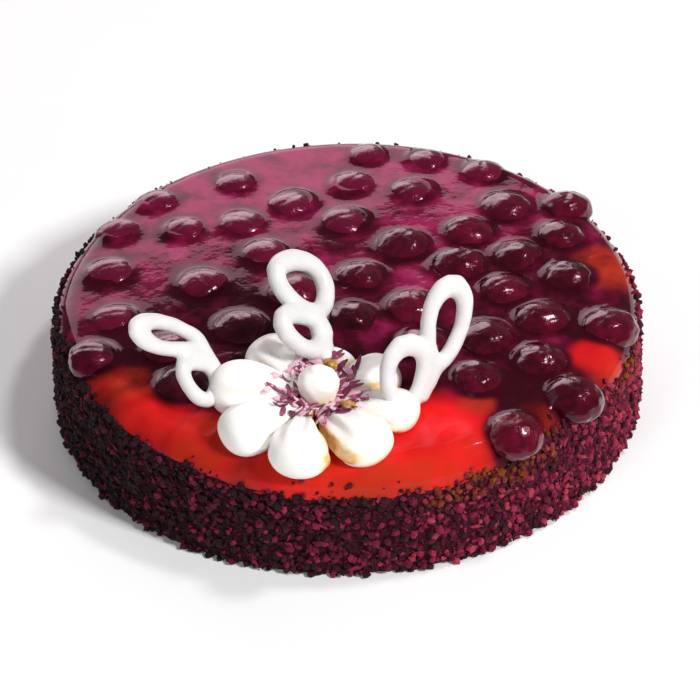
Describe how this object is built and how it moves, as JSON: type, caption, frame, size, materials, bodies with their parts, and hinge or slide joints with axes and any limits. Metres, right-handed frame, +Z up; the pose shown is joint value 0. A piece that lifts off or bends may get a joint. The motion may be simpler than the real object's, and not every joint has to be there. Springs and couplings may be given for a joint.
{
  "type": "yogurt cake",
  "caption": "Round yogurt cake with a dark crumb-coated side, cherries bedded in glossy red jelly, a piped cream flower and looped white chocolate ornaments.",
  "frame": {"origin": "centre of the cake's flat underside", "axes": "+Z up, front of the cake with the cream flower towards -Y, +X to the right seen from the front"},
  "size_m": [0.24, 0.2396, 0.0926],
  "materials": {
    "crumb_coat": "rough chocolate crumbs",
    "red_jelly": "wet gloss",
    "cherry": "wet gloss",
    "cream": "soft satin",
    "white_chocolate": "satin"
  },
  "bodies": {
    "root": {"cake_body": "crumb_coat", "cherry_jelly": "red_jelly", "cherry_01": "cherry", "cherry_02": "cherry", "cherry_03": "cherry", "cherry_04": "cherry", "cherry_05": "cherry", "cherry_06": "cherry", "cherry_07": "cherry", "cherry_08": "cherry", "cherry_09": "cherry", "cherry_10": "cherry", "cherry_11": "cherry", "cherry_12": "cherry", "cherry_13": "cherry", "cherry_14": "cherry", "cherry_15": "cherry", "cherry_16": "cherry", "cherry_17": "cherry", "cherry_18": "cherry", "cherry_19": "cherry", "cherry_20": "cherry", "cherry_21": "cherry", "cherry_22": "cherry", "cherry_23": "cherry", "cherry_24": "cherry", "cherry_25": "cherry", "cherry_26": "cherry", "cherry_27": "cherry", "cherry_28": "cherry", "cherry_29": "cherry", "cherry_30": "cherry", "cherry_31": "cherry", "cherry_32": "cherry", "cherry_33": "cherry", "cherry_34": "cherry", "cherry_35": "cherry", "cherry_36": "cherry", "cherry_37": "cherry", "cherry_38": "cherry", "cherry_39": "cherry", "cherry_40": "cherry", "cherry_41": "cherry", "cream_petal_1": "cream", "cream_petal_2": "cream", "cream_petal_3": "cream", "cream_petal_4": "cream", "cream_petal_5": "cream", "cream_petal_6": "cream", "cream_petal_7": "cream", "cream_petal_8": "cream", "cream_bead": "cream", "chocolate_loop_left": "white_chocolate", "chocolate_loop_back": "white_chocolate", "chocolate_loop_right": "white_chocolate"}
  },
  "joints": []
}
